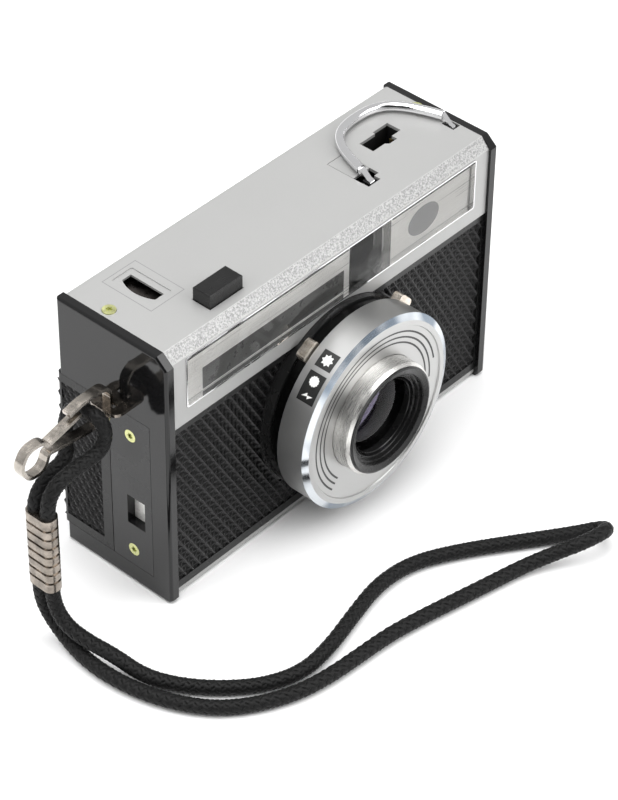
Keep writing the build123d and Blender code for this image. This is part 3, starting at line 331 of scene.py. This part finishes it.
CAP = gloss_black("cap_gloss", 0.006, 0.07)
SIDE = gloss_black("side_plate_black", 0.012, 0.20)
BUTTON = moulded_black("button_black", 0.010, 0.26)
PANEL = moulded_black("panel_border", 0.010, 0.30)
LATTICE = lattice_black()
COVER = cover_aluminium()
DRUM = satin_aluminium("drum_satin", 0.40, 0.36, 5200, 0.9)
RING = turned_aluminium()
BARREL = turned_barrel()
BLACK_METAL = moulded_black("anodised_black", 0.012, 0.26)
CHROME = bright_metal("chrome", (0.78, 0.78, 0.79), 0.06)
NICKEL = bright_metal("nickel", (0.62, 0.57, 0.51), 0.18, 0.45)
WORN_NICKEL = bright_metal("worn_nickel", (0.42, 0.37, 0.32), 0.22, 0.7)
STEEL = sheet_steel()
ZINC = bright_metal("yellow_zinc", (0.72, 0.74, 0.36), 0.36, 0.2)
GUNMETAL = bright_metal("gunmetal", (0.10, 0.09, 0.085), 0.25, 0.3)
FRAME = bright_metal("finder_frame_metal", (0.62, 0.62, 0.61), 0.16)
BRASS = bright_metal("brass", (0.80, 0.60, 0.28), 0.3, 0.2)
FOIL = printed_foil()
PANE = clear_glass("window_pane", (1.0, 1.0, 1.0), 0.015, 1.3)
OPTIC = clear_glass("coated_optic", (0.40, 0.38, 0.45), 0.01, 1.2)
SIGHT = clear_glass("finder_optic", (0.45, 0.46, 0.48), 0.02, 1.6)
CHASSIS = moulded_black("chassis_black", 0.008, 0.5)
SELECTOR = selector_metal()
YARN = braided_yarn()
INK = flat_ink("ink_black", (0.008, 0.008, 0.008), 0.35)
# grey for the painted shade of the stamped line round the counter, and for the printed badge
GROOVE_SHADE_AND_BADGE_GREY = flat_ink("groove_shade_and_badge_grey", (0.24, 0.24, 0.24), 0.4)
GREY_INK = flat_ink("ink_grey", (0.075, 0.075, 0.073), 0.30)
WHITE_INK = flat_ink("ink_white", (0.82, 0.82, 0.80), 0.45)
BATTERY = flat_ink("battery_paint", (0.35, 0.06, 0.04), 0.35)

FINISHES = {
    CAP: ("end_cap_left", "end_cap_right", "lens_cell"),
    SIDE: ("side_panel", "advance_lever"),
    BUTTON: ("shutter_button",),
    PANEL: ("front_panel", "back_door"),
    COVER: ("top_cover", "ejector_flap", "base_plate"),
    DRUM: ("lens_drum",),
    RING: ("front_ring",),
    BARREL: ("lens_barrel",),
    BLACK_METAL: ("lens_bezel", "lens_collar", "aperture_plate", "shutter_housing"),
    CHROME: ("flash_bail", "window_rim"),
    NICKEL: ("strap_clip",),
    WORN_NICKEL: ("strap_ferrule", "strap_lug"),
    STEEL: ("tripod_bush", "base_screws", "button_guide", "button_spring", "release_lever",
            "counter_bridge", "shutter_blade", "hinge_bracket", "door_hinge_pin", "pressure_plate",
            "pressure_spring", "door_latch"),
    ZINC: ("cover_screws",),
    GUNMETAL: ("counter_disc",),
    FRAME: ("finder_frame",),
    BRASS: ("flash_contacts", "transport_shaft"),
    FOIL: ("foil_panels", "indicator_plate"),
    PANE: ("front_window",),
    OPTIC: ("front_element", "rear_element"),
    SIGHT: ("finder_front_lens", "finder_eyepiece"),
    CHASSIS: ("lens_board", "chassis_floor", "chassis_deck", "chamber_left", "chamber_right", "film_gate",
              "finder_tube", "flash_socket", "bail_bracket"),
    SELECTOR: ("selector_ring",),
    BATTERY: ("flash_battery",),
}


def finish_nodes():
    for material, names in FINISHES.items():
        for name in names:
            for holder in nodes[name].material_slots:
                holder.material = material


# ---- mesh helpers ----------------------------------------------------------------------
def add_piece(name, verts, faces, material, body, smooth=False):
    mesh = bpy.data.meshes.new(name)
    mesh.from_pydata([tuple(v) for v in verts], [], faces)
    mesh.validate()
    mesh.materials.append(material)
    for polygon in mesh.polygons:
        polygon.use_smooth = smooth
    piece = bpy.data.objects.new(name, mesh)
    bpy.context.scene.collection.objects.link(piece)
    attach(piece, body)
    return piece


def recalc(piece):
    work = bmesh.new()
    work.from_mesh(piece.data)
    bmesh.ops.recalc_face_normals(work, faces=work.faces)
    work.to_mesh(piece.data)
    work.free()


# ---- moulded lattice --------------------------------------------------------------------
def lattice(name, body, place, width, height, skip=None):
    """Triangular relief on a width by height field. place(u, v, depth) gives a point in millimetres."""
    verts, ribs, faces, known = [], [], [], {}

    def vertex(u, v, depth, rib):
        key = (round(u, 3), round(v, 3))
        if key not in known:
            known[key] = len(verts)
            verts.append(place(u, v, depth))
            ribs.append(rib)
        return known[key]

    def mid(a, b, depth, rib):
        return vertex((a[0] + b[0]) / 2, (a[1] + b[1]) / 2, depth, rib)

    def pit(corners, along, depth):
        """Six facets round a sunk centre. along names the side that is a high rib."""
        centre = (sum(c[0] for c in corners) / 3, sum(c[1] for c in corners) / 3)
        if not inside(*centre):
            return
        middle = vertex(*centre, depth, 0.0)
        loop = []
        for side in range(3):
            a, b = corners[side], corners[(side + 1) % 3]
            loop.append(vertex(*a, 0.02, 0.9))
            loop.append(mid(a, b, 0.02 if side == along else 0.24, 1.0 if side == along else 0.25))
        for index in range(6):
            faces.append((loop[index], loop[(index + 1) % 6], middle))

    def inside(u, v):
        if abs(u) > width / 2 or abs(v) > height / 2:
            return False
        return skip is None or not skip(u, v)

    rows = int(height / 2 / ROW) + 2
    columns = int((width / 2 + height * 0.3) / CELL) + 2
    for row in range(-rows, rows):
        for column in range(-columns, columns):
            u = (column - row * 0.5) * CELL
            v = row * ROW
            low_left, low_right = (u, v), (u + CELL, v)
            up_left, up_right = (u - CELL / 2, v + ROW), (u + CELL / 2, v + ROW)
            # the high rib runs from low_left to up_left and on in the same direction
            pit((low_left, low_right, up_right), 1, 0.46)
            pit((low_left, up_right, up_left), 2, 0.42)
    piece = add_piece(name, verts, faces, LATTICE, body)
    attribute = piece.data.attributes.new("rib", "FLOAT", "POINT")
    attribute.data.foreach_set("value", ribs)
    recalc(piece)
    return piece


def make_lattices():
    lattice("front_lattice", "camera",
            lambda u, v, d: mm(u, PANEL_Y + d, 26.0 + v), 105.2, 44.2,
            lambda u, v: hypot(u, v + 26.0 - LENS_Z) < 24.2)
    lattice("flap_lattice", "door",
            lambda u, v, d: mm(-55.0 + d, 10.0 - u, 27.55 + v), 11.9, 39.8)
    lattice("door_lattice", "door",
            lambda u, v, d: mm(-1.0 - u, 17.1 - d, 27.5 + v), 98.2, 39.8)


# ---- marks on the lens -------------------------------------------------------------------
def lens_point(r, angle, y):
    return mm(r * cos(angle), y, LENS_Z + r * sin(angle))


def face_depth(r):
    """Depth of the dished front face at radius r."""
    return FACE_Y + 0.35 + (21.8 - r) / 7.5 * 0.55


def arc_groove(name, r, start, end, width=0.46):
    steps = 96
    verts, faces = [], []
    for step in range(steps + 1):
        angle = radians(start + (end - start) * step / steps)
        for side in (-0.5, 0.5):
            edge = r + side * width
            verts.append(lens_point(edge, angle, face_depth(edge) - 0.012))
    for step in range(steps):
        a = 2 * step
        faces.append((a, a + 1, a + 3, a + 2))
    piece = add_piece(name, verts, faces, INK, "camera", True)
    recalc(piece)


def drum_patch(name, material, outline, angle0, y0, lift):
    """A printed outline wrapped on the drum: outline holds (arc mm, depth mm) points."""
    work = bmesh.new()
    ring = []
    for along, depth in outline:
        ring.append(work.verts.new(Vector((along, depth, 0))))
    work.faces.new(ring)
    for cut in range(-12, 13):
        geometry = work.verts[:] + work.edges[:] + work.faces[:]
        bmesh.ops.bisect_plane(work, geom=geometry, plane_co=(cut * 0.6, 0, 0), plane_no=(1, 0, 0))
    bmesh.ops.triangulate(work, faces=work.faces[:])
    work.verts.ensure_lookup_table()
    work.verts.index_update()
    verts = []
    for vert in work.verts:
        angle = radians(angle0) + vert.co.x / DRUM_R
        verts.append(lens_point(DRUM_R + lift, angle, y0 + vert.co.y))
    faces = [tuple(v.index for v in face.verts) for face in work.faces]
    work.free()
    piece = add_piece(name, verts, faces, material, "camera")
    recalc(piece)


def star(points, outer, inner, centre=(0, 0)):
    shape = []
    for step in range(points * 2):
        r = outer if step % 2 == 0 else inner
        angle = pi * step / points
        shape.append((centre[0] + r * cos(angle), centre[1] + r * sin(angle)))
    return shape


def rectangle(w, h):
    return [(-w / 2, -h / 2), (w / 2, -h / 2), (w / 2, h / 2), (-w / 2, h / 2)]


def turned_ring(name, profile, material, segments=96):
    """A solid of revolution on the lens axis: profile is a closed loop of (radius, y) points."""
    verts, faces = [], []
    count = len(profile)
    for step in range(segments):
        for r, y in profile:
            verts.append(lens_point(r, 2 * pi * step / segments, y))
    for step in range(segments):
        here, there = step * count, (step + 1) % segments * count
        for k in range(count):
            after = (k + 1) % count
            faces.append((here + k, here + after, there + after, there + k))
    piece = add_piece(name, verts, faces, material, "camera")
    recalc(piece)
    return piece


def make_bezel_rings():
    lip = [(13.55, BARREL_Y + 0.02), (13.45, BARREL_Y - 0.35), (13.05, BARREL_Y - 0.5),
           (12.5, BARREL_Y - 0.3), (11.75, BARREL_Y + 0.02)]
    turned_ring("bezel_lip", lip, BLACK_METAL)
    for index, (r, y) in enumerate(((11.2, 1.0), (10.5, 1.75), (9.6, 2.2))):
        ring = [(r, BARREL_Y + y), (r - 0.14, BARREL_Y + y - 0.16), (r - 0.28, BARREL_Y + y)]
        turned_ring(f"bezel_ridge_{index}", ring, BLACK_METAL)


ARC_START = 224.0          # all three arc grooves begin at this angle
ARC_GROOVES = (("groove_outer", 20.3, 10.5), ("groove_middle", 18.8, -4.0), ("groove_inner", 17.4, -13.0))
SUN_ANGLE, CLOUD_ANGLE = 121.5, 137.8
FIELD_LIFT, SYMBOL_LIFT = 0.02, 0.035
BOLT = [(-0.2, -1.5), (0.75, -0.2), (0.15, -0.1), (0.5, 1.5), (-0.65, 0.15), (-0.05, 0.05)]
DRUM_MARKS = (
    ("mark_sun_field", INK, "black_anodised", rectangle(4.4, 4.5), SUN_ANGLE, FIELD_LIFT),
    ("mark_cloud_field", INK, "black_anodised", rectangle(7.2, 4.7), CLOUD_ANGLE, FIELD_LIFT),
    ("mark_sun", WHITE_INK, "drum_aluminium", star(8, 1.55, 1.05), SUN_ANGLE, SYMBOL_LIFT),
    ("mark_dull_sun", WHITE_INK, "drum_aluminium", star(12, 1.35, 1.12), 134.2, SYMBOL_LIFT),
    ("mark_bolt", WHITE_INK, "drum_aluminium", BOLT, 142.3, SYMBOL_LIFT),
)


def make_lens_marks():
    for name, r, end in ARC_GROOVES:
        arc_groove(name, r, ARC_START, end)
    for name, material, slot, outline, angle, lift in DRUM_MARKS:
        drum_patch(name, material, outline, angle, MARK_Y, lift)


# ---- printed strip behind the window -------------------------------------------------------
PRINT_LIFT = 0.02          # print stands this far in front of the foil


def strip_bar(name, material, x0, x1, z0, z1, lift):
    y = FOIL_Y - lift
    verts = [mm(x0, y, z0), mm(x1, y, z0), mm(x1, y, z1), mm(x0, y, z1)]
    add_piece(name, verts, [(0, 1, 2, 3)], material, "camera")


def make_cover_marks():
    """The fine stamped line round the counter opening, drawn as a flat grey loop: painted shade in place of
    the stamped groove.
    """
    x0, x1, y0, y1 = -44.6, -34.2, -2.4, 12.6
    line, rise = 0.22, 71.0 + 0.006
    outer = [(x0, y0), (x1, y0), (x1, y1), (x0, y1)]
    inner = [(x0 + line, y0 + line), (x1 - line, y0 + line), (x1 - line, y1 - line),
             (x0 + line, y1 - line)]
    verts = [mm(x, y, rise) for x, y in outer + inner]
    faces = [(k, (k + 1) % 4, 4 + (k + 1) % 4, 4 + k) for k in range(4)]
    # painted shade: a flat grey loop stands in for the groove's shade
    add_piece("counter_line", verts, faces, GROOVE_SHADE_AND_BADGE_GREY, "camera")


def make_badge():
    """A plain oval at the right of the window."""
    centre_x, centre_z, half_w, half_h, points = 31.2, 59.8, 5.4, 3.9, 40
    verts = []
    for k in range(points):
        angle = 2 * pi * k / points
        verts.append(mm(centre_x + half_w * cos(angle), FOIL_Y - PRINT_LIFT, centre_z + half_h * sin(angle)))
    add_piece("print_badge", verts, [tuple(range(points))], GROOVE_SHADE_AND_BADGE_GREY, "camera")


def make_window_print():
    lift = PRINT_LIFT
    for side, (x0, x1) in (("left", (-47.7, 5.3)), ("right", (20.1, 47.4))):
        strip_bar(f"print_line_upper_{side}", GREY_INK, x0, x1, 66.75, 67.45, lift)
        strip_bar(f"print_line_lower_{side}", GREY_INK, x0, x1, 65.45, 66.05, lift)
    strip_bar("print_bar", GREY_INK, -42.0, 3.8, 54.8, 60.8, lift)


# ---- cords -----------------------------------------------------------------------------------
CORD_D = 3.7
LAY = CORD_D / 2 + 0.05
FERRULE_X, FERRULE_Y = -80.0, -2.95
STRAND_A, STRAND_B = FERRULE_Y - 1.95, FERRULE_Y + 1.95
WRIST_ROUTE = ((FERRULE_X, STRAND_A, 16.0), (FERRULE_X, STRAND_A, 11.5), (-80.2, -8.6, 7.2),
               (-79.8, -14.5, 5.9), (-78.0, -21.5, 4.6), (-76.6, -29.0, 2.4), (-73.0, -36.5, LAY),
               (-67.6, -43.7, LAY), (-60.5, -50.0, LAY), (-51.5, -53.6, LAY), (-41.5, -52.6, LAY),
               (-31.0, -50.0, LAY), (-20.0, -47.6, LAY), (-9.5, -48.6, LAY), (0.7, -54.0, LAY),
               (12.0, -61.8, LAY), (22.5, -69.3, LAY), (28.2, -73.5, LAY + 0.6), (25.6, -77.8, 6.6),
               (18.3, -75.9, 6.2), (13.8, -72.2, 4.0), (6.8, -68.1, LAY), (-2.6, -66.0, LAY),
               (-12.5, -63.7, LAY), (-21.1, -61.7, LAY), (-30.4, -59.9, LAY), (-39.9, -59.3, LAY),
               (-48.9, -58.6, LAY), (-57.2, -56.9, LAY), (-65.4, -53.0, LAY), (-72.2, -47.6, LAY),
               (-77.0, -40.2, LAY), (-80.0, -32.0, LAY), (-81.4, -23.5, LAY), (-81.2, -15.0, LAY),
               (-79.6, -7.5, 2.4), (-79.6, -2.6, 6.5), (FERRULE_X, STRAND_B, 11.5),
               (FERRULE_X, STRAND_B, 16.0))
HITCH_ROUTE = ((FERRULE_X, STRAND_A, 37.0), (FERRULE_X, STRAND_A, 41.4), (-76.4, -5.3, 45.3),
               (-69.6, -5.4, 45.6), (-63.0, -5.6, 46.2), (-62.8, -5.6, 54.2), (-64.4, 3.6, 54.2),
               (-66.4, 3.4, 46.4), (-69.6, -0.8, 44.7), (-75.4, -1.0, 43.9), (FERRULE_X, STRAND_B, 40.2),
               (FERRULE_X, STRAND_B, 37.0))
YARNS = 6                  # yarns laid each way
LEAD = 13.0                # length of one turn of a yarn
YARN_HALF = (0.80, 0.27)   # half width and half thickness of a yarn
BRAID_R = 1.44             # radius of the yarns' mean surface
WEAVE = 0.12               # how far a yarn rises and sinks at a crossing


def smooth_line(name, route):
    """Points along the open NURBS line of a cord's route, with equal steps."""
    curve = bpy.data.curves.new(name, "CURVE")
    curve.dimensions = "3D"
    curve.resolution_u = 24
    spline = curve.splines.new("NURBS")
    spline.points.add(len(route) - 1)
    for point, place in zip(spline.points, route):
        point.co = (*mm(*place), 1.0)
    spline.order_u = 3
    spline.use_endpoint_u = True
    holder = bpy.data.objects.new(name, curve)
    mesh = bpy.data.meshes.new_from_object(holder)
    line = [v.co.copy() for v in mesh.vertices]
    bpy.data.meshes.remove(mesh)
    bpy.data.objects.remove(holder)
    bpy.data.curves.remove(curve)
    return line


def even_steps(line, step):
    """Points on the line a fixed distance apart, with a frame that doesn't twist."""
    lengths = [0.0]
    for a, b in zip(line, line[1:]):
        lengths.append(lengths[-1] + (b - a).length)
    count = max(2, round(lengths[-1] / step))
    points, index = [], 0
    for number in range(count + 1):
        at = lengths[-1] * number / count
        while index < len(line) - 2 and lengths[index + 1] < at:
            index += 1
        share = (at - lengths[index]) / max(lengths[index + 1] - lengths[index], 1e-9)
        points.append(line[index].lerp(line[index + 1], min(share, 1.0)))
    across, frames = Vector((0, 0, 1)), []
    for number, point in enumerate(points):
        ahead = points[min(number + 1, count)] - points[max(number - 1, 0)]
        ahead.normalize()
        if number == 0:
            across = ahead.orthogonal()
        across = (across - ahead * across.dot(ahead)).normalized()
        frames.append((point, across, ahead.cross(across)))
    return frames, lengths[-1]


def braided_cord(name, node, route):
    line = smooth_line(name + "_line", route)
    frames, length = even_steps(line, 0.0006)
    verts, faces = [], []

    def tube(section_at, sides):
        start = len(verts)
        for number, (point, across, over) in enumerate(frames):
            along = length * number / (len(frames) - 1) / MM
            for dx, dy in section_at(along):
                verts.append(point + across * (dx * MM) + over * (dy * MM))
        last = len(frames) - 1
        for number in range(last):
            for side in range(sides):
                a = start + number * sides + side
                b = start + number * sides + (side + 1) % sides
                faces.append((a, b, b + sides, a + sides))
        faces.append(tuple(start + side for side in range(sides)))
        faces.append(tuple(start + last * sides + side for side in reversed(range(sides))))

    def core(along):
        return [(1.34 * cos(2 * pi * k / 12), 1.34 * sin(2 * pi * k / 12)) for k in range(12)]

    tube(core, 12)
    for way in (1, -1):
        for yarn in range(YARNS):
            def section(along, way=way, yarn=yarn):
                angle = 2 * pi * yarn / YARNS + way * 2 * pi * along / LEAD
                rise = BRAID_R + way * WEAVE * cos(2 * YARNS * pi * along / LEAD)
                out = (cos(angle), sin(angle))
                side = (-sin(angle), cos(angle))
                ring = []
                for k in range(8):
                    wide = YARN_HALF[0] * cos(2 * pi * k / 8)
                    thick = YARN_HALF[1] * sin(2 * pi * k / 8) - 0.16 * (wide / YARN_HALF[0]) ** 2
                    ring.append(((rise + thick) * out[0] + wide * side[0],
                                 (rise + thick) * out[1] + wide * side[1]))
                return ring
            tube(section, 8)
    piece = add_piece(name, verts, faces, YARN, "camera", True)
    recalc(piece)
    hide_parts(node)
    return piece


def make_cords():
    braided_cord("hitch_cord_braid", "hitch_cord", HITCH_ROUTE)
    braided_cord("wrist_cord_braid", "wrist_cord", WRIST_ROUTE)


# ---- floor and light ----------------------------------------------------------------------------
def make_floor():
    mesh = bpy.data.meshes.new("floor")
    size, level = 3.0, -0.0002
    corners = [(-size, -size, level), (size, -size, level), (size, size, level), (-size, size, level)]
    mesh.from_pydata(corners, [], [(0, 1, 2, 3)])
    s = Shader("floor_white", (0.92, 0.92, 0.92), 0.9, Specular_IOR_Level=0.0)
    mesh.materials.append(s.material)
    floor = bpy.data.objects.new("floor", mesh)
    bpy.context.scene.collection.objects.link(floor)


def area_light(name, place, target, size, power, size_y=None):
    data = bpy.data.lights.new(name, "AREA")
    data.energy = power
    data.shape = "RECTANGLE"
    data.size = size
    data.size_y = size_y or size
    lamp = bpy.data.objects.new(name, data)
    aim = (Vector(target) - Vector(place)).to_track_quat("-Z", "Y")
    lamp.matrix_world = Matrix.Translation(Vector(place)) @ aim.to_matrix().to_4x4()
    bpy.context.scene.collection.objects.link(lamp)


def make_light():
    world = bpy.data.worlds.new("studio")
    bpy.context.scene.world = world
    world.use_nodes = True
    tree = world.node_tree
    background = tree.nodes["Background"]
    background.inputs["Color"].default_value = (1.0, 1.0, 1.0, 1.0)
    # the studio is white all round, but for a dark patch where the photographer stands
    direction = tree.nodes.new("ShaderNodeTexCoord").outputs["Generated"]
    toward = tree.nodes.new("ShaderNodeVectorMath")
    toward.operation = "DOT_PRODUCT"
    tree.links.new(direction, toward.inputs[0])
    toward.inputs[1].default_value = (-0.66, -0.58, 0.48)
    level = tree.nodes.new("ShaderNodeMapRange")
    level.inputs["From Min"].default_value = 0.72
    level.inputs["From Max"].default_value = 0.90
    level.inputs["To Min"].default_value = 0.66
    level.inputs["To Max"].default_value = 0.04
    tree.links.new(toward.outputs["Value"], level.inputs["Value"])
    tree.links.new(level.outputs["Result"], background.inputs["Strength"])
    area_light("top_box", (-0.2, 0.0, 1.1), (0, 0, 0.03), 1.1, 13.5)
    area_light("left_box", (-0.95, 0.1, 0.75), (0, 0, 0.03), 0.6, 3.0)
    area_light("front_box", (0.4, -0.85, 0.75), (0, 0, 0.03), 0.7, 7.0)
    bpy.context.scene.view_settings.view_transform = "Standard"


make_camera()
make_cords()
finish_nodes()
make_lattices()
make_lens_marks()
make_bezel_rings()
make_window_print()
make_badge()
make_cover_marks()
make_floor()
make_light()
